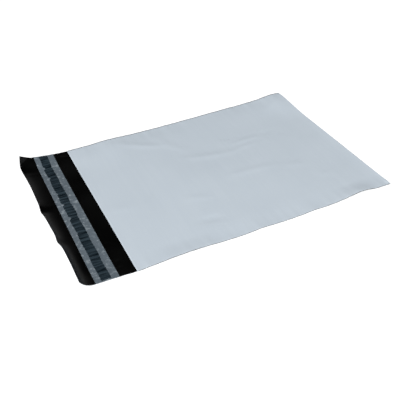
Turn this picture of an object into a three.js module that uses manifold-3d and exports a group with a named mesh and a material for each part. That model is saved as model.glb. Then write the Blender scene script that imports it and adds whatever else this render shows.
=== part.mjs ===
// Poly mailer bag, empty and lying flat: an envelope of polyethylene film for posting soft goods.
//
// One web of film makes the whole bag. It is folded once at the bottom, welded along both sides, and its
// back panel runs on past the mouth as the closing flap. The film is light outside and black inside, so
// the flap, which shows the inside of the web, is black. A band of hot-melt adhesive lies across the flap
// under a release liner that is peeled off to close the bag for good.
//
// Millimetres. +X runs from the flap to the bottom fold, +Z is up, and the back panel lies on Z = 0.

import * as THREE from "three";
import { mergeVertices } from "three/addons/utils/BufferGeometryUtils.js";
import Module from "manifold-3d";

// Driving dimensions of the bag
const POCKET_LENGTH = 254;
const BAG_WIDTH = 203.2;
const FLAP_LENGTH = 50.8;
const FILM = 0.0635; // thickness of one layer
const POCKET_GAP = 0.6; // between the layers in the middle of the pocket
const WELD_GAP = 0.06; // between the layers where they run into the weld bead
const PARTING_WIDTH = 16; // from a side weld to where the layers are a full gap apart

// The hot-knife weld leaves a fine round bead along each side of the pocket
const BEAD_RADIUS = 0.13;
const BEAD_SIDES = 8;

// The free edge of the flap curls up past the liner, more at one side than at the other
const CURL_LENGTH = 15.8;
const LIP_LIFT = [
  // across the bag, height of the free edge
  [-101.6, 8],
  [-84, 9],
  [-57, 8],
  [-42, 5.8],
  [-28, 6],
  [-10, 4],
  [3, 2.4],
  [13, 0.4],
  [26, 2.7],
  [45, 3.7],
  [65, 2.6],
  [80, 0],
  [96, 0],
  [101.6, 8],
];

// The closure on the flap
const LINER_WIDTH = 20;
const LINER_THICKNESS = 0.06;
const LINER_FROM_MOUTH = 14.8; // bare film between the mouth and the liner
const LINER_END_MARGIN = 0.2; // left bare at each side of the bag
const ADHESIVE_WIDTH = 8.6;
const ADHESIVE_THICKNESS = 0.07;
const ADHESIVE_END_MARGIN = 1.5;
const RIDGE_PITCH = 3.9; // of the crosswise ridges that the applicator leaves
const RIDGE_HEIGHT = 0.05;
const SCALLOP = 0.35; // how far the band swells at a ridge, on each edge
const CLEARANCE = 0.02; // between pieces that touch

// How finely the shapes are cut
const ROWS = 56;
const CURL_STEPS = 9;
const PANEL_STEPS = 2;
const FOLD_STEPS = 6;
const STEPS_PER_RIDGE = 4;

// Places along the bag, measured from the middle of its flat length
const FOLD_X = (POCKET_LENGTH + FLAP_LENGTH) / 2;
const MOUTH_X = FOLD_X - POCKET_LENGTH;
const FREE_EDGE_X = -FOLD_X;
const CURL_START_X = FREE_EDGE_X + CURL_LENGTH;

const wasm = await Module();
wasm.setup();

/** A closed geometry as a solid that can be joined to others. */
function toSolid(geometry) {
  const bare = geometry.clone();
  bare.deleteAttribute("normal");
  bare.deleteAttribute("uv");
  const merged = mergeVertices(bare);
  const vertProperties = new Float32Array(merged.attributes.position.array);
  const triVerts = new Uint32Array(merged.index.array);
  return new wasm.Manifold(new wasm.Mesh({ numProp: 3, vertProperties, triVerts }));
}

/** A joined solid as a geometry to draw. */
function toGeometry(solid) {
  const mesh = solid.getMesh();
  const geometry = new THREE.BufferGeometry();
  geometry.setAttribute("position", new THREE.BufferAttribute(mesh.vertProperties, 3));
  geometry.setIndex(new THREE.BufferAttribute(mesh.triVerts, 1));
  geometry.computeVertexNormals();
  return geometry;
}

/** Space between the front and back panels, at a place across the bag. */
function gapAt(y) {
  const fromEdge = Math.max(BAG_WIDTH / 2 - Math.abs(y), 0);
  return THREE.MathUtils.lerp(WELD_GAP, POCKET_GAP, THREE.MathUtils.smoothstep(fromEdge, 0, PARTING_WIDTH));
}

/** Angle that the free edge has turned through, at a place across the bag, so that it lifts as listed. */
function curlAngleAt(y) {
  const next = Math.max(1, LIP_LIFT.findIndex(([across]) => across >= y));
  const [y0, lift0] = LIP_LIFT[next - 1];
  const [y1, lift1] = LIP_LIFT[next];
  const lift = THREE.MathUtils.lerp(lift0, lift1, THREE.MathUtils.smoothstep(y, y0, y1));
  const rise = lift / CURL_LENGTH;
  return 2 * rise * (1 + rise ** 2 / 3); // a short arc rises by half its length times its angle
}

// The web from its free edge round to the front of the mouth. Each stretch gives the middle of the film
// as [x, z, heading], at a share of its length and at a place across the bag.

/** The curled lip: an arc whose bend grows with the lift of its free edge. */
function lipPoint(share, y) {
  const angle = Math.max(curlAngleAt(y), 1e-3);
  const radius = CURL_LENGTH / angle;
  const turned = angle * (1 - share);
  return [CURL_START_X - radius * Math.sin(turned), FILM / 2 + radius * (1 - Math.cos(turned)), -turned];
}

/** Where the panels end and the bottom fold begins. */
function foldCentreX(y) {
  return FOLD_X - FILM - gapAt(y) / 2;
}

/** The rest of the flap and the back panel, flat on the table. */
function backPoint(share, y) {
  return [THREE.MathUtils.lerp(CURL_START_X, foldCentreX(y), share), FILM / 2, 0];
}

/** The bottom fold: half a turn round the gap between the layers. */
function foldPoint(share, y) {
  const radius = (FILM + gapAt(y)) / 2;
  const turned = Math.PI * share;
  return [
    foldCentreX(y) + radius * Math.sin(turned),
    FILM / 2 + radius * (1 - Math.cos(turned)),
    turned,
  ];
}

/** The front panel, back to the mouth. */
function frontPoint(share, y) {
  return [THREE.MathUtils.lerp(foldCentreX(y), MOUTH_X, share), 1.5 * FILM + gapAt(y), Math.PI];
}

const STRETCHES = [
  { steps: CURL_STEPS, pointAt: lipPoint },
  { steps: PANEL_STEPS, pointAt: backPoint },
  { steps: FOLD_STEPS, pointAt: foldPoint },
  { steps: PANEL_STEPS, pointAt: frontPoint },
];

/** Every station along the web: a stretch, and a share of its length. */
function webStations() {
  const stations = [{ pointAt: lipPoint, share: 0 }];
  for (const { steps, pointAt } of STRETCHES) {
    for (let i = 1; i <= steps; i += 1) {
      stations.push({ pointAt, share: i / steps });
    }
  }
  return stations;
}

/** The folded web: a flat slab in web coordinates, bent to its place station by station. */
function foldedWeb() {
  const stations = webStations();
  const slab = new THREE.BoxGeometry(1, 1, FILM, stations.length - 1, ROWS, 1);
  const position = slab.attributes.position;
  const halfWidth = BAG_WIDTH / 2 - BEAD_RADIUS;
  for (let i = 0; i < position.count; i += 1) {
    const station = stations[Math.round((position.getX(i) + 0.5) * (stations.length - 1))];
    // rows close up towards the sides, where the film bends most
    const y = -halfWidth * Math.cos(Math.PI * (position.getY(i) + 0.5));
    const above = position.getZ(i);
    const [x, z, heading] = station.pointAt(station.share, y);
    position.setXYZ(i, x - above * Math.sin(heading), y, z + above * Math.cos(heading));
  }
  return slab;
}

/** The weld bead along one side of the pocket; side is 1 or -1. */
function weldBead(side) {
  const halfFacet = Math.PI / BEAD_SIDES;
  const bead = new THREE.CylinderGeometry(BEAD_RADIUS, BEAD_RADIUS, POCKET_LENGTH - FILM, BEAD_SIDES);
  bead.rotateY(halfFacet);
  bead.rotateZ(Math.PI / 2);
  bead.translate(
    MOUTH_X + (POCKET_LENGTH - FILM) / 2,
    side * (BAG_WIDTH / 2 - BEAD_RADIUS * Math.cos(halfFacet)),
    BEAD_RADIUS * Math.cos(halfFacet),
  );
  return bead;
}

/** Film body: the folded web with both sides of the pocket welded. */
function filmBody() {
  const web = toSolid(foldedWeb());
  const geometry = toGeometry(web.add(toSolid(weldBead(-1))).add(toSolid(weldBead(1))));
  const film = new THREE.MeshStandardMaterial({ color: 0xc4ced8, roughness: 0.42, metalness: 0 });
  const mesh = new THREE.Mesh(geometry, film);
  mesh.name = "film_body";
  return mesh;
}

/** Adhesive strip: a hot-melt band with crosswise ridges and scalloped edges. */
function adhesiveStrip() {
  const length = BAG_WIDTH - 2 * ADHESIVE_END_MARGIN;
  const steps = Math.round(length / RIDGE_PITCH) * STEPS_PER_RIDGE;
  const geometry = new THREE.BoxGeometry(ADHESIVE_WIDTH, length, ADHESIVE_THICKNESS, 1, steps, 1);
  const position = geometry.attributes.position;
  for (let i = 0; i < position.count; i += 1) {
    const ridge = 0.5 + 0.5 * Math.cos((2 * Math.PI * position.getY(i)) / RIDGE_PITCH);
    const x = position.getX(i) + Math.sign(position.getX(i)) * SCALLOP * ridge;
    const z = position.getZ(i) > 0 ? position.getZ(i) + RIDGE_HEIGHT * ridge : position.getZ(i);
    position.setXYZ(i, x, position.getY(i), z);
  }
  const hotMelt = new THREE.MeshStandardMaterial({ color: 0x25313a, roughness: 0.22, metalness: 0 });
  const mesh = new THREE.Mesh(geometry, hotMelt);
  mesh.name = "adhesive_strip";
  mesh.position.set(MOUTH_X - LINER_FROM_MOUTH - LINER_WIDTH / 2, 0, FILM + CLEARANCE + ADHESIVE_THICKNESS / 2);
  return mesh;
}

/** Release liner: a silicone-coated strip from side to side, on top of the adhesive. */
function releaseLiner() {
  const length = BAG_WIDTH - 2 * LINER_END_MARGIN;
  const geometry = new THREE.BoxGeometry(LINER_WIDTH, length, LINER_THICKNESS);
  const coatedFilm = new THREE.MeshStandardMaterial({ color: 0x69727a, roughness: 0.3, metalness: 0 });
  const mesh = new THREE.Mesh(geometry, coatedFilm);
  const underside = FILM + ADHESIVE_THICKNESS + RIDGE_HEIGHT + 2 * CLEARANCE;
  mesh.name = "release_liner";
  mesh.position.set(MOUTH_X - LINER_FROM_MOUTH - LINER_WIDTH / 2, 0, underside + LINER_THICKNESS / 2);
  return mesh;
}

const bag = new THREE.Group();
bag.name = "poly_mailer_bag";
bag.add(filmBody());
bag.add(adhesiveStrip());
bag.add(releaseLiner());

export default bag;
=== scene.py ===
"""Poly mailer bag, empty and lying flat on a light table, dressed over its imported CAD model.

The bag is one web of polyethylene film: silver-grey outside, black inside, folded at the bottom and
welded along both sides. Its back runs on past the mouth as a flap, which carries a hot-melt band under
a release liner. Sizes inside the classes are millimetres, but for the studio's, and meshes are made in
metres.
"""

import logging
import math
from collections.abc import Callable
from dataclasses import dataclass
from enum import Enum
from functools import cached_property

import bmesh
import bpy
import numpy as np
from mathutils import Matrix, Vector


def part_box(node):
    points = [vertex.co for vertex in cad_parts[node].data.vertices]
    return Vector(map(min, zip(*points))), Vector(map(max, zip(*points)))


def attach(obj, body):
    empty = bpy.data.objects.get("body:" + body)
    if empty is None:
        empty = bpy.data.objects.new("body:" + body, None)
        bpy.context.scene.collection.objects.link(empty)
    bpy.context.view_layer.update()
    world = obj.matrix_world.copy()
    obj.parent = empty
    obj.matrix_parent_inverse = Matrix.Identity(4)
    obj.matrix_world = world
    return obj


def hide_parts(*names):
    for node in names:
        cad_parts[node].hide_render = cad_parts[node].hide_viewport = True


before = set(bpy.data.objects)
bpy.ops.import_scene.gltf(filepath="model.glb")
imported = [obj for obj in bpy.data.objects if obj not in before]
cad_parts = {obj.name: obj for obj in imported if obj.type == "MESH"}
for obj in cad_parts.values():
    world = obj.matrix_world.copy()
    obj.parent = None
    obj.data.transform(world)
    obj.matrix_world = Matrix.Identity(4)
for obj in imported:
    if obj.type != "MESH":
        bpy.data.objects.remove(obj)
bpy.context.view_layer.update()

MM = 0.001
FULL_TURN = 2 * math.pi
LOG = logging.getLogger("poly_mailer")


class Slot(Enum):
    """Material slots of the record."""

    FILM = "film"
    HOT_MELT = "hot_melt"
    LINER = "liner"


def linear(colour: str) -> tuple[float, float, float, float]:
    """Turn an sRGB hex colour into linear RGBA.

    Args:
        colour: Six hex digits after a hash sign.

    Returns:
        Red, green, blue and an alpha of 1.
    """
    channels = [int(colour[i : i + 2], 16) / 255 for i in (1, 3, 5)]
    curved = [c / 12.92 if c <= 0.04045 else ((c + 0.055) / 1.055) ** 2.4 for c in channels]
    return (curved[0], curved[1], curved[2], 1.0)


def add_node(
    tree: bpy.types.NodeTree, kind: str, inputs: dict | None = None, **settings: object,
) -> bpy.types.Node:
    """Add one node with its settings, values and links.

    Args:
        tree: The tree that the node joins.
        kind: The node's type name.
        inputs: Values, or output sockets to link, by input name or number.
        **settings: Properties of the node.

    Returns:
        The new node.
    """
    node = tree.nodes.new(kind)
    for name, value in settings.items():
        setattr(node, name, value)
    for key, value in (inputs or {}).items():
        if isinstance(value, bpy.types.NodeSocket):
            tree.links.new(value, node.inputs[key])
        else:
            node.inputs[key].default_value = value
    return node


def smoothstep(value: np.ndarray, low: float, high: float) -> np.ndarray:
    """Rise smoothly from 0 at low to 1 at high."""
    share = np.clip((value - low) / (high - low), 0, 1)
    return share * share * (3 - 2 * share)


def lifted(height: np.ndarray, distance: np.ndarray, reach: float | np.ndarray) -> np.ndarray:
    """Let the height of a raised edge die away smoothly over its reach."""
    return height * (0.5 + 0.5 * np.cos(np.pi * np.clip(distance / reach, 0, 1)))


@dataclass(frozen=True)
class Profile:
    """A smooth curve through a few points, given as (place, height) in order of place."""

    points: tuple[tuple[float, float], ...]

    def at(self, place: np.ndarray) -> np.ndarray:
        """Read the curve.

        Args:
            place: Where to read it; past either end it stays level.

        Returns:
            The height at each place.
        """
        knots, heights = np.array(self.points).T
        slopes = np.gradient(heights, knots)
        i = np.clip(np.searchsorted(knots, place) - 1, 0, len(knots) - 2)
        span = knots[i + 1] - knots[i]
        t = np.clip((place - knots[i]) / span, 0, 1)
        rise = t * t * (3 - 2 * t)
        start = slopes[i] * span * t * (1 - t) ** 2
        end = slopes[i + 1] * span * t * t * (t - 1)
        return heights[i] + (heights[i + 1] - heights[i]) * rise + start + end


@dataclass(frozen=True)
class Wrinkle:
    """A long soft ridge in the film, or a dent where its height is negative.

    Ends are (distance from the mouth, place across the bag). The crest bows sideways by bow, and at both
    ends it falls to the share end_height of its height. About a third of the height is left at a distance
    of width from the crest.
    """

    start: tuple[float, float]
    end: tuple[float, float]
    height: float
    width: float
    bow: float = 0.0
    end_height: float = 0.35

    def at(self, along: np.ndarray, across: np.ndarray) -> np.ndarray:
        """Height that the wrinkle adds.

        Args:
            along: Distances from the mouth.
            across: Places across the bag.

        Returns:
            Height at each point.
        """
        run = np.subtract(self.end, self.start)
        length = float(np.hypot(*run))
        way = run / length
        ahead = (along - self.start[0]) * way[0] + (across - self.start[1]) * way[1]
        aside = (across - self.start[1]) * way[0] - (along - self.start[0]) * way[1]
        share = np.clip(ahead / length, 0, 1)
        past_end = ahead - share * length
        off_crest = aside - self.bow * 4 * share * (1 - share)
        fade = self.end_height + (1 - self.end_height) * np.sin(np.pi * share)
        return self.height * fade * np.exp(-(off_crest**2 + past_end**2) / self.width**2)


@dataclass(frozen=True)
class TurnedCorner:
    """A corner of the film turned up about a slanting crease.

    The crease runs from start to end, each (distance from the mouth, place across the bag), with the
    corner on its left. The film bends to the radius until it has turned by the angle, in radians.
    """

    start: tuple[float, float]
    end: tuple[float, float]
    radius: float
    angle: float

    def bend(self, along: np.ndarray, across: np.ndarray) -> tuple[np.ndarray, np.ndarray, np.ndarray]:
        """Find how far the film moves.

        Args:
            along: Distances from the mouth while the film is flat.
            across: Places across the bag while the film is flat.

        Returns:
            How far each point moves along the bag, across it and up.
        """
        run = np.subtract(self.end, self.start)
        outward = np.array((-run[1], run[0])) / np.hypot(*run)
        past = np.maximum((along - self.start[0]) * outward[0] + (across - self.start[1]) * outward[1], 0)
        turned = np.minimum(past / self.radius, self.angle)
        straight = past - turned * self.radius
        reach = self.radius * np.sin(turned) + straight * np.cos(turned)
        lift = self.radius * (1 - np.cos(turned)) + straight * np.sin(turned)
        return outward[0] * (reach - past), outward[1] * (reach - past), lift


@dataclass
class BagForm:
    """How the film lies: the one place where the bag's shape is worked out.

    Places along the bag are distances from the mouth, negative on the flap and positive on the pocket.
    """

    pocket_length: float = 254.0
    width: float = 203.2
    flap_length: float = 50.8
    film: float = 0.0635
    curl_length: float = 15.8
    clear_of_table: float = 0.03

    # the space between the layers: its size, its least size, and how far it takes to open from a weld
    gap: float = 0.4
    least_gap: float = 0.25
    weld_gap: float = 0.06
    parting_width: float = 24.0

    # the film springs open a little at the bottom fold
    fold_bulge: float = 0.75
    fold_bulge_reach: float = 5.0
    fold_bulge_end: float = 6.0

    # how far a raised edge lifts the film beside it, on the flap and on the pocket
    near_reach: float = 20.0
    far_reach_flap: float = 22.0
    far_reach_pocket: float = 60.0
    # where along the bag the far reach begins to grow, and where it is full
    far_reach_growth: tuple[float, float] = (-20.0, 30.0)

    # the near weld has shrunk, so its edge has moved partly up and partly in: these shares of near_edge
    near_lift: float = 0.55
    near_shrink: float = 0.45

    # ripples beside the welds, and the broad unevenness of the whole film
    pucker_waves: int = 5
    pucker_peak: float = 3.0
    pucker_pitches: tuple[float, float] = (9.0, 26.0)
    pucker_reach: float = 9.0
    pucker_start: float = 4.0
    pucker_height: float = 0.25
    edge_ripple: float = 0.12
    edge_ripple_fall: float = 3.0
    swell_waves: int = 6
    swell_length: float = 90.0
    swell_height: float = 0.12
    swell_gap: float = 0.25
    # how far the front panel's swell is shifted and squeezed, so that it is out of step with the back's
    front_shift: float = 40.0
    front_squeeze: float = 1.2
    seed: int = 11

    # how far each long edge has moved from where it would lie flat, from the curl on the flap to the
    # bottom fold; the far edge has only moved up
    near_edge: Profile = Profile((
        (-35, 1.6), (-14, 0.9), (0, 0.1), (18, 0.9), (32, 1.8), (60, 1.8), (80, 0.4), (105, 0.0),
        (116, 0.8), (127, 0.1), (158, 0.0), (170, 0.7), (184, 0.3), (202, 1.4), (220, 3.6), (228, 3.5),
        (238, 1.5), (254, 1.2),
    ))
    far_edge: Profile = Profile((
        (-35, 4.4), (-25, 3.1), (-12, 1.6), (0, 1.0), (30, 1.1), (43, 1.7), (65, 0.7), (87, 0.1),
        (137, 0.0), (167, 0.4), (227, 1.6), (245, 3.2), (254, 2.6),
    ))
    least_turn: float = 0.01
    # angle that the curled lip turns through, in radians, from the near side to the far one: a tall curl,
    # a fold line in it, a lower curl, a second fold line, and a low curl that dies out at the far corner
    lip_turn: Profile = Profile((
        (-102, 1.15), (-72, 1.2), (-50, 1.05), (-41, 0.8), (-35, 0.9), (-20, 0.82), (3, 0.52), (11, 0.28),
        (17, 0.5), (32, 0.6), (50, 0.62), (62, 0.54), (80, 0.3), (92, 0.05), (102, 0.05),
    ))
    far_corner: TurnedCorner = TurnedCorner((-50.8, 90.2), (-34.9, 101.6), radius=2.2, angle=1.12)
    flap_puckers: tuple[Wrinkle, ...] = (
        Wrinkle((-36, 76), (-42, 78), 0.5, 1.9),
        Wrinkle((-36, 85), (-41, 87), 0.4, 1.7),
        Wrinkle((-36, 17), (-43, 15), 0.5, 1.9),
        Wrinkle((-13, -58), (-9, -57), 0.35, 1.7),
        Wrinkle((-13, -82), (-8, -83), 0.45, 1.9),
        Wrinkle((-13, -91), (-9, -91), 0.35, 1.7),
        Wrinkle((-2, 91), (-12, 93), 0.4, 1.9),
    )
    wrinkles: tuple[Wrinkle, ...] = (
        Wrinkle((156, 31), (188, 33), 0.36, 3.6, 1.0),
        Wrinkle((150, 19), (180, 23), 0.28, 3.3, 1.5),
        Wrinkle((190, 35), (206, 37), -0.2, 4.0),
        Wrinkle((102, 30), (153, 19), 0.42, 5.0, -1.5),
        Wrinkle((128, -18), (176, -22), 0.3, 4.4, 1.0),
        Wrinkle((185, -28), (203, -32), 0.22, 5.0),
        Wrinkle((40, 97), (62, 82), 0.35, 6.0, 1.0),
        Wrinkle((60, 82), (92, 64), 0.45, 5.0, -1.0),
        Wrinkle((92, 84), (108, 46), 0.3, 5.5, -3.0),
        Wrinkle((74, -68), (92, -70), -0.42, 4.4),
        Wrinkle((75, -32), (96, -39), 0.22, 4.5),
        Wrinkle((218, 70), (248, 97), 0.4, 5.5, 1.5),
        Wrinkle((4, -14), (30, -20), 0.18, 5.5),
        Wrinkle((204, -56), (218, -58), 0.15, 4.5),
        Wrinkle((52, -8), (126, -14), 0.9, 46.0),
    )

    def __post_init__(self) -> None:
        """Draw the waves of the puckers and of the swell."""
        draw = np.random.default_rng(self.seed)
        both_sides = (2, self.pucker_waves)
        both_ways = (self.swell_waves, 2)
        self.pitches = draw.uniform(*self.pucker_pitches, both_sides)
        self.pucker_phases = draw.uniform(0, FULL_TURN, both_sides)
        self.swell_ways = draw.uniform(0.5, 1.0, both_ways) * draw.choice((-1, 1), both_ways)
        self.swell_phases = draw.uniform(0, FULL_TURN, self.swell_waves)

    @cached_property
    def mouth_x(self) -> float:
        """Place of the mouth in the shared frame."""
        fold_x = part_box("film_body")[1][0] / MM
        return fold_x - self.pocket_length

    @property
    def curl_start(self) -> float:
        """Where the flap begins to curl, along the bag."""
        return self.curl_length - self.flap_length

    def puckers(self, along: np.ndarray, across: np.ndarray) -> np.ndarray:
        """Ripple the film beside the side welds.

        Args:
            along: Distances from the mouth.
            across: Places across the bag.

        Returns:
            Height at each point, mostly from -1 to 1.
        """
        total = np.zeros_like(across)
        for side, pitches, phases in zip((-1, 1), self.pitches, self.pucker_phases):
            inside = np.maximum(self.width / 2 - side * across, 0)
            ripple = sum(np.sin(FULL_TURN * along / pitch + phase) for pitch, phase in zip(pitches, phases))
            total += ripple / self.pucker_peak * np.exp(-inside / self.pucker_reach)
        return total

    def swell(self, along: np.ndarray, across: np.ndarray) -> np.ndarray:
        """Find the broad, shallow unevenness of film that has been rolled and handled.

        Args:
            along: Distances from the mouth.
            across: Places across the bag.

        Returns:
            Height at each point, from -1 to 1.
        """
        waves = (
            np.sin((along * way_along + across * way_across) * FULL_TURN / self.swell_length + phase)
            for (way_along, way_across), phase in zip(self.swell_ways, self.swell_phases)
        )
        return sum(waves) / self.swell_waves

    def back_height(self, along: np.ndarray, across: np.ndarray) -> np.ndarray:
        """Height of the back panel and the flat of the flap above the table.

        Args:
            along: Distances from the mouth.
            across: Places across the bag.

        Returns:
            Height of the underside of the film.
        """
        on_pocket = smoothstep(along, *self.far_reach_growth)
        far_reach = self.far_reach_flap + (self.far_reach_pocket - self.far_reach_flap) * on_pocket
        from_near = self.width / 2 + across
        from_far = self.width / 2 - across
        near = lifted(self.near_lift * self.near_edge.at(along), from_near, self.near_reach)
        far = lifted(self.far_edge.at(along), from_far, far_reach)
        # the edge ripple dies away in about a third of the reach
        inwards = np.minimum(from_near / self.near_reach, from_far / far_reach)
        fall = np.exp(-self.edge_ripple_fall * inwards)
        ripple = self.edge_ripple * (1 + self.puckers(along, across)) * fall
        swell = self.swell_height * (1 + self.swell(along, across))
        puckers = sum(pucker.at(along, across) for pucker in self.flap_puckers)
        return self.clear_of_table + near + far + np.maximum(ripple, 0) + swell + puckers

    def panel_gap(self, along: np.ndarray, across: np.ndarray) -> np.ndarray:
        """Space between the front and the back panel.

        Args:
            along: Distances from the mouth.
            across: Places across the bag.

        Returns:
            Space at each point, never less than at a side weld.
        """
        from_side = self.width / 2 - np.abs(across)
        parting = smoothstep(from_side, 0, self.parting_width)
        swell = self.swell(along + self.front_shift, across * self.front_squeeze)
        level = self.gap * (1 + self.swell_gap * swell)
        shape = sum(wrinkle.at(along, across) for wrinkle in self.wrinkles)
        ripple = self.pucker_height * self.puckers(along, across)
        bulge = self.fold_bulge * np.exp(-(self.pocket_length - along) / self.fold_bulge_reach)
        ripple *= np.clip(from_side / self.pucker_start, 0, 1)
        bulge *= smoothstep(from_side, 0, self.fold_bulge_end)
        opening = parting * (level + shape) + ripple + bulge
        return self.weld_gap + np.maximum(opening, self.least_gap * parting)

    def web_point(self, zone: np.ndarray, share: np.ndarray, across: np.ndarray) -> np.ndarray:
        """Place a point of the web's middle surface.

        Args:
            zone: 0 on the curled lip, 1 on the flat of the flap, 2 on the back, 3 round the fold and 4 on
                the front.
            share: Share of the zone's length, in web order from the flap's free edge.
            across: Places across the bag.

        Returns:
            One row of x, y and z for each point, in millimetres.
        """
        end = self.pocket_length - self.film / 2
        end_gap = self.panel_gap(np.full_like(across, end), across)
        radius = (self.film + end_gap) / 2
        turn_from = end - radius
        fold_height = self.back_height(np.full_like(across, end), across) + self.film / 2

        lip = self.lip_points(share, across)
        flap_along = self.curl_start * (1 - share)
        flap = (flap_along, self.back_height(flap_along, across) + self.film / 2)
        back_along = turn_from * share
        back = (back_along, self.back_height(back_along, across) + self.film / 2)
        turned = np.pi * share
        fold = (turn_from + radius * np.sin(turned), fold_height + radius * (1 - np.cos(turned)))
        front_along = turn_from * (1 - share)
        front_height = self.back_height(front_along, across) + 1.5 * self.film
        front = (front_along, front_height + self.panel_gap(front_along, across))

        along = np.choose(zone, (lip[0], flap[0], back[0], fold[0], front[0]))
        height = np.choose(zone, (lip[1], flap[1], back[1], fold[1], front[1]))
        flat_along = np.where(zone == 0, self.curl_start - self.curl_length * (1 - share), along)
        move_along, move_across, lift = self.far_corner.bend(flat_along, across)
        side = self.drawn_in(flat_along, across) + move_across
        return np.stack((self.mouth_x + along + move_along, side, height + lift), axis=-1)

    def lip_points(self, share: np.ndarray, across: np.ndarray) -> tuple[np.ndarray, np.ndarray]:
        """Curl the lip up in an arc that turns more at one side of the flap than at the other.

        Args:
            share: Share of the lip's length, from the free edge.
            across: Places across the bag.

        Returns:
            Distance from the mouth and height of the film's middle.
        """
        angle = np.maximum(self.lip_turn.at(across), self.least_turn)
        radius = self.curl_length / angle
        turned = angle * (1 - share)
        start = np.full_like(across, self.curl_start)
        height = self.back_height(start, across) + self.film / 2
        return start - radius * np.sin(turned), height + radius * (1 - np.cos(turned))

    def drawn_in(self, along: np.ndarray, across: np.ndarray) -> np.ndarray:
        """Draw the film in towards the middle of the bag where the near side weld has shrunk.

        Args:
            along: Distances from the mouth.
            across: Places across the bag before the weld shrank.

        Returns:
            Places across the bag.
        """
        from_near = np.clip((across + self.width / 2) / self.near_reach, 0, 1)
        return across + self.near_shrink * self.near_edge.at(along) * (1 - from_near) ** 2

    def flap_surface(self, along: np.ndarray, across: np.ndarray, above: np.ndarray) -> np.ndarray:
        """Place points above the flat of the flap.

        Args:
            along: Distances from the mouth, none of them past the curl.
            across: Places across the bag.
            above: Height over the film's top.

        Returns:
            One row of x, y and z for each point, in millimetres.
        """
        height = self.back_height(along, across) + self.film + above
        return np.stack((self.mouth_x + along, self.drawn_in(along, across), height), axis=-1)


@dataclass(frozen=True)
class BandOutline:
    """Outline of the adhesive band: ridges from the nozzle swell it, and skips notch or thin it."""

    width: float = 8.6
    ridge_pitch: float = 3.9
    # slow waves, each of which shifts the ridges by up to this angle, in radians
    drift: float = 0.9
    drift_waves: int = 3
    drift_pitches: tuple[float, float] = (17.0, 60.0)
    swell: float = 0.3
    # the band also wanders from side to side, its two edges not quite together
    wander: float = 0.25
    wander_pitch: float = 31.0
    wander_lag: float = 1.7
    mouth_side_bite: float = 0.25
    thin_reach: float = 1.2
    # in the edge nearer the flap's free edge: (place across the bag, half its length, depth)
    notches: tuple[tuple[float, float, float], ...] = (
        (82, 2.6, 1.9), (62, 2.4, 1.7), (33, 1.8, 1.1), (14, 2.8, 2.0), (-8, 2.6, 2.3), (-31, 1.6, 0.9),
    )
    # places across the bag where the nozzle laid less
    thin_places: tuple[float, ...] = (
        80, 64, 34, 24, 20, 15, 10, 6, 2, -3, -8, -18, -24, -31, -43, -60, -68, -74, -80, -91,
    )
    seed: int = 4

    def ridge(self, across: np.ndarray) -> np.ndarray:
        """Find the height of the crosswise ridges, which are a little uneven in pitch.

        Args:
            across: Places across the bag.

        Returns:
            Height at each place, from 0 to 1.
        """
        draw = np.random.default_rng(self.seed)
        pitches = draw.uniform(*self.drift_pitches, self.drift_waves)
        starts = draw.uniform(0, FULL_TURN, self.drift_waves)
        waves = (np.sin(FULL_TURN * across / pitch + start) for pitch, start in zip(pitches, starts))
        return 0.5 + 0.5 * np.cos(FULL_TURN * across / self.ridge_pitch + self.drift * sum(waves))

    def half_width(self, across: np.ndarray, side: np.ndarray) -> np.ndarray:
        """Distance from the band's middle line to its edge.

        Args:
            across: Places across the bag.
            side: -1 for the edge nearer the flap's free edge, 1 for the other one.

        Returns:
            The distance at each place.
        """
        wander = self.wander * np.sin(FULL_TURN * across / self.wander_pitch + self.wander_lag * side)
        edge = self.width / 2 + self.swell * (self.ridge(across) - 0.5) + wander
        bite = np.zeros_like(across)
        for place, half_length, depth in self.notches:
            bite += depth * np.clip(1 - np.abs(across - place) / half_length, 0, 1)
        return edge - np.where(side < 0, bite, self.mouth_side_bite * bite)

    def thinness(self, across: np.ndarray) -> np.ndarray:
        """Find how thin the adhesive is laid, from 0 to 1."""
        dips = (np.exp(-(((across - place) / self.thin_reach) ** 2)) for place in self.thin_places)
        return np.clip(sum(dips), 0, 1)


GridField = Callable[[np.ndarray, np.ndarray], np.ndarray]


def grid_object(
    name: str, columns: int, rows: int, place: GridField, attributes: dict[str, GridField] | None = None,
) -> bpy.types.Object:
    """Make an object from a square grid whose points are moved to their place.

    Args:
        name: Name of the object.
        columns: Faces along the first way.
        rows: Faces along the second way.
        place: Turns two arrays of shares, from 0 to 1, into rows of x, y and z in millimetres.
        attributes: Turns the same shares into one number for each point, by attribute name.

    Returns:
        The new object, smooth shaded, at the origin.
    """
    shape = bmesh.new()
    bmesh.ops.create_grid(shape, x_segments=columns, y_segments=rows, size=0.5)
    mesh = bpy.data.meshes.new(name)
    shape.to_mesh(mesh)
    shape.free()
    flat = np.empty(len(mesh.vertices) * 3)
    mesh.vertices.foreach_get("co", flat)
    shares = flat.reshape(-1, 3) + 0.5
    mesh.vertices.foreach_set("co", (place(shares[:, 0], shares[:, 1]) * MM).ravel())
    for attribute, field in (attributes or {}).items():
        values = field(shares[:, 0], shares[:, 1]).astype(np.float32)
        mesh.attributes.new(attribute, "FLOAT", "POINT").data.foreach_set("value", values)
    mesh.shade_smooth()
    mesh.update()
    piece = bpy.data.objects.new(name, mesh)
    bpy.context.scene.collection.objects.link(piece)
    return piece


def thicken(piece: bpy.types.Object, thickness: float, offset: float, back_material: int = 0) -> None:
    """Give a surface its wall.

    Args:
        piece: The object to thicken.
        thickness: Wall in millimetres.
        offset: -1 puts the wall behind the surface, 0 puts it on both sides and 1 in front.
        back_material: How many material places further on the back and the rim are.
    """
    wall = piece.modifiers.new("wall", "SOLIDIFY")
    wall.thickness = thickness * MM
    wall.offset = offset
    wall.use_even_offset = True
    wall.material_offset = back_material
    wall.material_offset_rim = back_material


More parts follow.
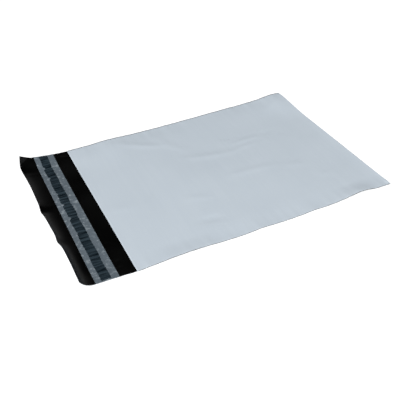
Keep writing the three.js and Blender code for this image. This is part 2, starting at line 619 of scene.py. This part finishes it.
@dataclass(frozen=True)
class Finish:
    """What every finish shares: the name of its material and the numbers of its shader."""

    name: str
    roughness: float
    ior: float

    def start(self) -> tuple[bpy.types.Material, bpy.types.NodeTree, bpy.types.Node, bpy.types.NodeSocket]:
        """Start the material.

        Returns:
            The material, its tree, its shader and the object coordinates.
        """
        material = bpy.data.materials.new(self.name)
        material.use_nodes = True
        tree = material.node_tree
        shader = tree.nodes["Principled BSDF"]
        shader.inputs["Roughness"].default_value = self.roughness
        shader.inputs["IOR"].default_value = self.ior
        where = add_node(tree, "ShaderNodeTexCoord").outputs["Object"]
        return material, tree, shader, where


@dataclass(frozen=True)
class BlownFilm(Finish):
    """Blown polyethylene film, filled with pigment.

    It has a soft satin sheen, faint lines along the web from the die, and a fine orange peel.
    The web runs across the bag, so the die lines do too.
    """

    colour: str = "#ffffff"
    streak_colour: str = "#ffffff"
    # in millimetres, but for the stretch; the peel is a little coarser than real, so that it shows
    die_line_pitch: float = 2.4
    die_line_depth: float = 0.0025
    die_line_stretch: float = 0.03
    peel_size: float = 1.3
    peel_depth: float = 0.004
    crumple_size: float = 17.0
    crumple_depth: float = 0.035
    cloud_size: float = 42.5
    # how much the roughness changes from cloud to cloud, down and up
    roughness_change: tuple[float, float] = (-0.05, 0.06)

    def build(self) -> bpy.types.Material:
        """Make the material.

        Returns:
            The material.
        """
        material, tree, shader, where = self.start()
        along_die = add_node(tree, "ShaderNodeMapping", {
            "Vector": where, "Scale": (1.0, self.die_line_stretch, 1.0),
        }).outputs[0]
        die = add_node(tree, "ShaderNodeTexNoise", {
            "Vector": along_die, "Scale": 1 / (self.die_line_pitch * MM), "Detail": 2.0,
        }).outputs["Fac"]
        cloud = add_node(tree, "ShaderNodeTexNoise", {
            "Vector": where, "Scale": 1 / (self.cloud_size * MM), "Detail": 3.0,
        }).outputs["Fac"]
        peel = add_node(tree, "ShaderNodeTexNoise", {
            "Vector": where, "Scale": 1 / (self.peel_size * MM), "Detail": 1.0,
        }).outputs["Fac"]
        crumple = add_node(tree, "ShaderNodeTexNoise", {
            "Vector": where, "Scale": 1 / (self.crumple_size * MM), "Detail": 2.0, "Distortion": 0.4,
        }).outputs["Fac"]
        blend = add_node(tree, "ShaderNodeMath", {0: die, 1: cloud}, operation="MULTIPLY").outputs[0]
        colour = add_node(tree, "ShaderNodeMix", {
            "Factor": blend, 6: linear(self.colour), 7: linear(self.streak_colour),
        }, data_type="RGBA").outputs[2]
        down, up = self.roughness_change
        gloss = add_node(tree, "ShaderNodeMapRange", {
            "Value": cloud, "From Min": 0.3, "From Max": 0.7,
            "To Min": self.roughness + down, "To Max": self.roughness + up,
        }).outputs[0]
        tree.links.new(colour, shader.inputs["Base Color"])
        tree.links.new(gloss, shader.inputs["Roughness"])
        low = add_node(tree, "ShaderNodeBump", {
            "Height": crumple, "Strength": 1.0, "Distance": self.crumple_depth * MM,
        }).outputs[0]
        lines = add_node(tree, "ShaderNodeBump", {
            "Height": die, "Strength": 1.0, "Distance": self.die_line_depth * MM, "Normal": low,
        }).outputs[0]
        fine = add_node(tree, "ShaderNodeBump", {
            "Height": peel, "Strength": 1.0, "Distance": self.peel_depth * MM, "Normal": lines,
        }).outputs[0]
        tree.links.new(fine, shader.inputs["Normal"])
        return material


@dataclass(frozen=True)
class WeldedFilm(Finish):
    """The side weld's bead: both layers melted by the hot knife, glossy and a little uneven, in a grey that
    is partly the melt and partly painted shade.
    """

    # dark greys: partly the melt of black and silver film, partly painted shade that stands in for the shadow
    # along the bag's edges
    colours: tuple[str, str] = ("#2b3034", "#5c6369")
    lump_size: float = 1.6  # mm
    lump_depth: float = 0.05  # mm

    def build(self) -> bpy.types.Material:
        """Make the material.

        Returns:
            The material.
        """
        material, tree, shader, where = self.start()
        lumps = add_node(tree, "ShaderNodeTexNoise", {
            "Vector": where, "Scale": 1 / (self.lump_size * MM), "Detail": 2.0,
        }).outputs["Fac"]
        colour = add_node(tree, "ShaderNodeMix", {
            "Factor": lumps, 6: linear(self.colours[0]), 7: linear(self.colours[1]),
        }, data_type="RGBA").outputs[2]
        tree.links.new(colour, shader.inputs["Base Color"])
        bump = add_node(tree, "ShaderNodeBump", {
            "Height": lumps, "Distance": self.lump_depth * MM,
        }).outputs[0]
        tree.links.new(bump, shader.inputs["Normal"])
        return material


@dataclass(frozen=True)
class HotMelt(Finish):
    """Hot-melt adhesive, laid hot by a slot nozzle: clear, wet-looking, dark over the black film."""

    colours: tuple[str, str] = ("#17222b", "#26343d")
    tint_size: float = 5.0  # mm
    bead_size: float = 0.9  # mm
    bead_depth: float = 0.02  # mm

    def build(self) -> bpy.types.Material:
        """Make the material.

        Returns:
            The material.
        """
        material, tree, shader, where = self.start()
        tint = add_node(tree, "ShaderNodeTexNoise", {
            "Vector": where, "Scale": 1 / (self.tint_size * MM),
        }).outputs["Fac"]
        colour = add_node(tree, "ShaderNodeMix", {
            "Factor": tint, 6: linear(self.colours[0]), 7: linear(self.colours[1]),
        }, data_type="RGBA").outputs[2]
        tree.links.new(colour, shader.inputs["Base Color"])
        beads = add_node(tree, "ShaderNodeTexNoise", {
            "Vector": where, "Scale": 1 / (self.bead_size * MM),
        }).outputs["Fac"]
        bump = add_node(tree, "ShaderNodeBump", {
            "Height": beads, "Distance": self.bead_depth * MM,
        }).outputs[0]
        tree.links.new(bump, shader.inputs["Normal"])
        return material


@dataclass(frozen=True)
class SiliconedLiner(Finish):
    """Release liner: silicone-coated film, smooth and milky.

    Where it is bedded in the adhesive it turns nearly clear, so the black film shows through it, with a
    faint crosswise streak wherever the adhesive is thin.
    """

    milky: tuple[str, str] = ("#67737c", "#818c95")
    blotch: str = "#a8b3ba"
    bedded: tuple[str, str] = ("#08131a", "#3d4b54")
    alpha: float = 0.5
    blotch_size: float = 4.0  # mm
    blotch_share: float = 0.85
    crinkle_depth: float = 0.03  # mm
    streak_pitch: float = 2.6  # mm
    streak_stretch: float = 0.12
    streak_contrast: float = 0.45
    # where the bedding begins and is full, in millimetres inside the band's edge
    bedding_edge: tuple[float, float] = (-0.15, 0.25)

    def build(self) -> bpy.types.Material:
        """Make the material.

        Returns:
            The material.
        """
        material, tree, shader, where = self.start()
        crinkle = add_node(tree, "ShaderNodeTexNoise", {
            "Vector": where, "Scale": 1 / (self.blotch_size * MM), "Detail": 3.0,
        }).outputs["Fac"]
        milk = add_node(tree, "ShaderNodeMix", {
            "Factor": crinkle, 6: linear(self.milky[0]), 7: linear(self.milky[1]),
        }, data_type="RGBA").outputs[2]
        patch = add_node(tree, "ShaderNodeMapRange", {
            "Value": crinkle, "From Min": 0.55, "From Max": 0.7, "To Max": self.blotch_share,
        }).outputs[0]
        pale = add_node(tree, "ShaderNodeMix", {
            "Factor": patch, 6: milk, 7: linear(self.blotch),
        }, data_type="RGBA").outputs[2]
        colour = add_node(tree, "ShaderNodeMix", {
            "Factor": self.bedding(tree), 6: pale, 7: self.bedded_colour(tree, where),
        }, data_type="RGBA").outputs[2]
        tree.links.new(colour, shader.inputs["Base Color"])
        shader.inputs["Alpha"].default_value = self.alpha
        bump = add_node(tree, "ShaderNodeBump", {
            "Height": crinkle, "Distance": self.crinkle_depth * MM,
        }).outputs[0]
        tree.links.new(bump, shader.inputs["Normal"])
        return material

    def bedding(self, tree: bpy.types.NodeTree) -> bpy.types.NodeSocket:
        """Find whether the liner is bedded in the adhesive.

        Args:
            tree: The material's tree.

        Returns:
            A share from 0 to 1, with a soft edge.
        """
        inside = add_node(tree, "ShaderNodeAttribute", attribute_name="band_depth").outputs["Fac"]
        return add_node(tree, "ShaderNodeMapRange", {
            "Value": inside, "From Min": self.bedding_edge[0], "From Max": self.bedding_edge[1],
        }).outputs[0]

    def bedded_colour(self, tree: bpy.types.NodeTree, where: bpy.types.NodeSocket) -> bpy.types.NodeSocket:
        """Find the liner's colour over the adhesive, streaked across the band.

        Args:
            tree: The material's tree.
            where: The object coordinates.

        Returns:
            The colour.
        """
        thin = add_node(tree, "ShaderNodeAttribute", attribute_name="band_thinness").outputs["Fac"]
        along_streaks = add_node(tree, "ShaderNodeMapping", {
            "Vector": where, "Scale": (self.streak_stretch, 1.0, self.streak_stretch),
        }).outputs[0]
        streak = add_node(tree, "ShaderNodeTexNoise", {
            "Vector": along_streaks, "Scale": 1 / (self.streak_pitch * MM), "Detail": 2.0,
        }).outputs["Fac"]
        amount = add_node(tree, "ShaderNodeMapRange", {
            "Value": streak, "From Min": 0.35, "From Max": 0.75,
        }).outputs[0]
        lighter = add_node(tree, "ShaderNodeMath", {
            0: thin, 1: self.streak_contrast, 2: amount,
        }, operation="MULTIPLY_ADD").outputs[0]
        return add_node(tree, "ShaderNodeMix", {
            "Factor": lighter, 6: linear(self.bedded[0]), 7: linear(self.bedded[1]),
        }, data_type="RGBA").outputs[2]


@dataclass
class FilmBag:
    """The bag itself: one web of film, with its fold and its side welds."""

    form: BagForm
    outside: BlownFilm = BlownFilm(
        "blown_polyethylene_silver_grey", roughness=0.42, ior=1.51, colour="#bcc6cf", streak_colour="#c4cdd5",
    )
    inside: BlownFilm = BlownFilm(
        "blown_polyethylene_black", roughness=0.31, ior=1.51, colour="#010101", streak_colour="#020202",
    )
    weld: WeldedFilm = WeldedFilm("hot_knife_welded_polyethylene_painted_edge_shade", roughness=0.3, ior=1.51)
    # faces across the web, which crowd a little towards the sides where the film puckers
    columns: int = 132
    crowding: float = 0.25
    lip_rows: int = 20
    flap_rows: int = 26
    back_rows: int = 84
    fold_rows: int = 8
    front_rows: int = 168
    # a little thicker than a real bead, so that it shows as a fine dark line, whose darkness is partly
    # painted shade along the bag's edges
    bead_radius: float = 0.2
    bead_sides: int = 8
    bead_steps: int = 170

    def web(self) -> bpy.types.Object:
        """Bend the flat web into the bag and give it its thickness.

        Returns:
            The web, black inside and silver-grey outside.
        """
        rows = np.array((self.lip_rows, self.flap_rows, self.back_rows, self.fold_rows, self.front_rows))
        ends = np.concatenate(((0,), np.cumsum(rows)))

        def place(web_share: np.ndarray, width_share: np.ndarray) -> np.ndarray:
            """Place the points of the web's middle surface.

            Args:
                web_share: Shares of the web's rows, from the flap's free edge.
                width_share: Shares of the web's width, from the near side.

            Returns:
                One row of x, y and z for each point, in millimetres.
            """
            row = np.rint(web_share * ends[-1])
            zone = np.clip(np.searchsorted(ends, row) - 1, 0, len(rows) - 1)
            share = (row - ends[zone]) / rows[zone]
            spread = 2 * width_share - 1
            spread = (1 - self.crowding) * spread + self.crowding * np.sin(np.pi / 2 * spread)
            return self.form.web_point(zone, share, (self.form.width / 2 - self.bead_radius) * spread)

        piece = grid_object("film_web", int(ends[-1]), self.columns, place)
        piece.data.materials.append(self.inside.build())
        piece.data.materials.append(self.outside.build())
        thicken(piece, self.form.film, 0, back_material=1)
        return piece

    def bead(self, name: str, side: int, finish: bpy.types.Material) -> bpy.types.Object:
        """Make one side weld's bead, a fine rod that follows the edge of the pocket.

        Args:
            name: Name of the object.
            side: -1 for the near side, 1 for the far one.
            finish: Its material.

        Returns:
            The bead.
        """
        length = self.form.pocket_length - self.form.film
        shape = bmesh.new()
        turn = Matrix.Rotation(math.pi / 2, 4, "Y")
        bmesh.ops.create_cone(
            shape, cap_ends=True, segments=self.bead_sides, radius1=self.bead_radius,
            radius2=self.bead_radius, depth=length, matrix=turn,
        )
        long_edges = [edge for edge in shape.edges if edge.calc_length() > length / 2]
        bmesh.ops.subdivide_edges(shape, edges=long_edges, cuts=self.bead_steps, use_grid_fill=True)
        middle = side * (self.form.width / 2 - self.bead_radius)
        along = np.array([vert.co.x + length / 2 for vert in shape.verts])
        edge = np.full_like(along, middle)
        heights = self.form.back_height(along, edge) + self.bead_radius
        for vert, across, height in zip(shape.verts, self.form.drawn_in(along, edge), heights):
            vert.co = (vert.co + Vector((self.form.mouth_x + length / 2, across, height))) * MM
        bmesh.ops.recalc_face_normals(shape, faces=shape.faces)
        mesh = bpy.data.meshes.new(name)
        shape.to_mesh(mesh)
        shape.free()
        mesh.shade_smooth()
        mesh.materials.append(finish)
        piece = bpy.data.objects.new(name, mesh)
        bpy.context.scene.collection.objects.link(piece)
        return piece

    def build(self) -> list[bpy.types.Object]:
        """Build the web and both beads, hide the CAD film body in their place, and attach them to the root
        body.

        Returns:
            The pieces.
        """
        web = self.web()
        welded = self.weld.build()
        beads = [self.bead("side_weld_near", -1, welded), self.bead("side_weld_far", 1, welded)]
        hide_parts("film_body")
        for piece in (web, *beads):
            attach(piece, "root")
        return [web, *beads]


@dataclass
class Closure:
    """What closes the bag: the adhesive band on the flap and the release liner over it."""

    form: BagForm
    outline: BandOutline = BandOutline()
    liner_width: float = 20.0
    liner_thickness: float = 0.06
    liner_from_mouth: float = 14.75
    band_offset: float = -0.85
    end_margin: float = 0.2
    band_end_margin: float = 1.5
    band_thickness: float = 0.07
    band_wall: float = 0.021
    band_edge_height: float = 0.35
    ridge_height: float = 0.05
    clearance: float = 0.02

    # the liner comes down to the film beside the band, shows its ridges, and its streaks lean a little
    liner_slope: float = 1.8
    ridge_print: float = 0.03
    streak_lean: float = 0.12

    band_faces: tuple[int, int] = (10, 416)
    liner_faces: tuple[int, int] = (44, 420)
    melt: HotMelt = HotMelt("hot_melt_adhesive_slot_coated", roughness=0.2, ior=1.48)
    liner_finish: SiliconedLiner = SiliconedLiner("silicone_coated_release_film", roughness=0.33, ior=1.45)

    @property
    def middle(self) -> float:
        """Distance from the mouth to the middle of the closure, on the flap."""
        return -(self.liner_from_mouth + self.liner_width / 2)

    def adhesive(self) -> bpy.types.Object:
        """Lay the adhesive band on the flap.

        Returns:
            The band.
        """
        half_length = self.form.width / 2 - self.band_end_margin

        def place(width_share: np.ndarray, length_share: np.ndarray) -> np.ndarray:
            """Place the points of the band's top.

            Args:
                width_share: Shares of the band's width, towards the mouth.
                length_share: Shares of its length, from the near side.

            Returns:
                One row of x, y and z for each point, in millimetres.
            """
            across = (2 * length_share - 1) * half_length
            spread = 2 * width_share - 1
            along = self.middle + self.band_offset + spread * self.outline.half_width(across, np.sign(spread))
            # a flat top with rounded edges
            crown = 1 - (1 - self.band_edge_height) * spread**6
            height = self.band_thickness + self.ridge_height * self.outline.ridge(across)
            return self.form.flap_surface(along, across, self.clearance + height * crown)

        piece = grid_object("adhesive_band", *self.band_faces, place)
        piece.data.materials.append(self.melt.build())
        thicken(piece, self.band_wall, -1)
        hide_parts("adhesive_strip")
        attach(piece, "root")
        return piece

    @property
    def liner_half_length(self) -> float:
        """Half the liner's length, across the bag."""
        return self.form.width / 2 - self.end_margin

    def liner_spot(self, width_share: np.ndarray, length_share: np.ndarray) -> tuple[np.ndarray, np.ndarray]:
        """Distance of a point of the liner from its middle line, and its place across the bag."""
        return (width_share - 0.5) * self.liner_width, (2 * length_share - 1) * self.liner_half_length

    def band_depth(self, width_share: np.ndarray, length_share: np.ndarray) -> np.ndarray:
        """Find how far inside the adhesive band the liner's points lie.

        Args:
            width_share: Shares of the liner's width.
            length_share: Shares of the liner's length.

        Returns:
            Distance inside the band's edge, in millimetres, negative outside the band.
        """
        off_middle, across = self.liner_spot(width_share, length_share)
        off_band = off_middle - self.band_offset
        depth = self.outline.half_width(across, np.sign(off_band)) - np.abs(off_band)
        return np.minimum(depth, self.form.width / 2 - self.band_end_margin - np.abs(across))

    def band_thinness(self, width_share: np.ndarray, length_share: np.ndarray) -> np.ndarray:
        """Find how thin the adhesive is under the liner's points, along streaks that lean a little.

        Args:
            width_share: Shares of the liner's width.
            length_share: Shares of the liner's length.

        Returns:
            Thinness at each point, from 0 to 1.
        """
        off_middle, across = self.liner_spot(width_share, length_share)
        return self.outline.thinness(across + self.streak_lean * off_middle)

    def liner(self) -> bpy.types.Object:
        """Lay the release liner over the band, down on the film on both sides of it.

        Returns:
            The liner.
        """
        bed = self.band_thickness + self.ridge_height + self.clearance

        def place(width_share: np.ndarray, length_share: np.ndarray) -> np.ndarray:
            """Place the points of the liner's middle surface.

            Args:
                width_share: Shares of the liner's width, towards the mouth.
                length_share: Shares of its length, from the near side.

            Returns:
                One row of x, y and z for each point, in millimetres.
            """
            off_middle, across = self.liner_spot(width_share, length_share)
            on_band = smoothstep(self.band_depth(width_share, length_share), -self.liner_slope, 0)
            ridge = self.ridge_print * self.outline.ridge(across)
            above = 2 * self.clearance + self.liner_thickness / 2 + (bed + ridge) * on_band
            return self.form.flap_surface(self.middle + off_middle, across, above)

        fields = {"band_depth": self.band_depth, "band_thinness": self.band_thinness}
        piece = grid_object("release_liner_strip", *self.liner_faces, place, fields)
        piece.data.materials.append(self.liner_finish.build())
        thicken(piece, self.liner_thickness, 0)
        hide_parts("release_liner")
        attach(piece, "root")
        return piece

    def build(self) -> list[bpy.types.Object]:
        """Build the band and the liner."""
        return [self.adhesive(), self.liner()]


@dataclass
class Studio:
    """A white table under soft light, and the camera.

    Sizes are in metres, but for the lens and the sensor in millimetres, and angles are in degrees.
    """

    azimuth: float = -23.91
    elevation: float = 36.94
    roll: float = -2.62
    distance: float = 0.596
    target: tuple[float, float, float] = (-0.0162, -0.0401, 0.0015)
    lens: float = 58.36
    sensor: float = 36.0

    table_half_side: float = 1.6
    # how brightly the table glows on the bag, and to the eye
    table_glow: tuple[float, float] = (0.1, 0.55)
    # how bright the room's walls are low down and overhead, and how they look past the table
    wall_glow: tuple[float, float] = (0.22, 0.002)
    backdrop: float = 1.0

    lamp_place: tuple[float, float, float] = (-1.9, -2.6, 4.0)
    lamp_side: float = 3.1
    lamp_watts: float = 390.0

    def camera(self) -> None:
        """Set up the camera."""
        data = bpy.data.cameras.new("camera")
        data.lens = self.lens
        data.sensor_width = self.sensor
        data.clip_start = 0.01
        az, el = math.radians(self.azimuth), math.radians(self.elevation)
        back = Vector((math.sin(az) * math.cos(el), -math.cos(az) * math.cos(el), math.sin(el)))
        camera = bpy.data.objects.new("camera", data)
        turn = back.to_track_quat("Z", "Y").to_matrix() @ Matrix.Rotation(math.radians(self.roll), 3, "Z")
        camera.matrix_world = Matrix.Translation(Vector(self.target) + back * self.distance) @ turn.to_4x4()
        bpy.context.scene.collection.objects.link(camera)
        bpy.context.scene.camera = camera

    def table(self) -> None:
        """Lay the white table top, which looks lit up but throws little light under the bag."""
        shape = bmesh.new()
        bmesh.ops.create_grid(shape, x_segments=1, y_segments=1, size=self.table_half_side)
        mesh = bpy.data.meshes.new("table")
        shape.to_mesh(mesh)
        shape.free()
        material = bpy.data.materials.new("white_acrylic_light_table")
        material.use_nodes = True
        tree = material.node_tree
        shader = tree.nodes["Principled BSDF"]
        shader.inputs["Base Color"].default_value = linear("#c8c8c8")
        shader.inputs["Roughness"].default_value = 0.9
        shader.inputs["Specular IOR Level"].default_value = 0.1
        shader.inputs["Emission Color"].default_value = (1.0, 1.0, 1.0, 1.0)
        seen = add_node(tree, "ShaderNodeLightPath").outputs["Is Camera Ray"]
        glow = add_node(tree, "ShaderNodeMix", {
            "Factor": seen, 2: self.table_glow[0], 3: self.table_glow[1],
        }).outputs[0]
        tree.links.new(glow, shader.inputs["Emission Strength"])
        mesh.materials.append(material)
        table = bpy.data.objects.new("table", mesh)
        bpy.context.scene.collection.objects.link(table)

    def lamp(self) -> None:
        """Hang one square soft box, turned towards the bag."""
        data = bpy.data.lights.new("soft_box", "AREA")
        data.shape = "SQUARE"
        data.size = self.lamp_side
        data.energy = self.lamp_watts
        lamp = bpy.data.objects.new("soft_box", data)
        place = Vector(self.lamp_place)
        lamp.matrix_world = Matrix.Translation(place) @ place.to_track_quat("Z", "Y").to_matrix().to_4x4()
        bpy.context.scene.collection.objects.link(lamp)

    def surroundings(self) -> None:
        """Stand the table in a dark room whose walls are dimly lit, low down.

        Past the table the eye sees a plain pale backdrop.
        """
        world = bpy.data.worlds.new("room")
        world.use_nodes = True
        tree = world.node_tree
        way = add_node(tree, "ShaderNodeTexCoord").outputs["Generated"]
        height = add_node(tree, "ShaderNodeSeparateXYZ", {0: way}).outputs["Z"]
        wall = add_node(tree, "ShaderNodeMapRange", {
            "Value": height, "From Min": 0.12, "From Max": 0.44,
            "To Min": self.wall_glow[0], "To Max": self.wall_glow[1],
        }).outputs[0]
        seen = add_node(tree, "ShaderNodeLightPath").outputs["Is Camera Ray"]
        strength = add_node(tree, "ShaderNodeMix", {"Factor": seen, 2: wall, 3: self.backdrop}).outputs[0]
        tree.links.new(strength, tree.nodes["Background"].inputs["Strength"])
        tree.nodes["Background"].inputs["Color"].default_value = (1.0, 1.0, 1.0, 1.0)
        bpy.context.scene.world = world

    def build(self) -> None:
        """Build the camera, the table and the lights."""
        bpy.context.scene.view_settings.view_transform = "Standard"
        self.camera()
        self.table()
        self.lamp()
        self.surroundings()


def main() -> None:
    """Build the bag and its studio, and report each piece."""
    logging.basicConfig(level=logging.INFO, format="%(message)s")
    Studio().build()
    form = BagForm()
    for part in (FilmBag(form), Closure(form)):
        for piece in part.build():
            LOG.info("%s: %d points", piece.name, len(piece.data.vertices))


if __name__ == "__main__":
    main()
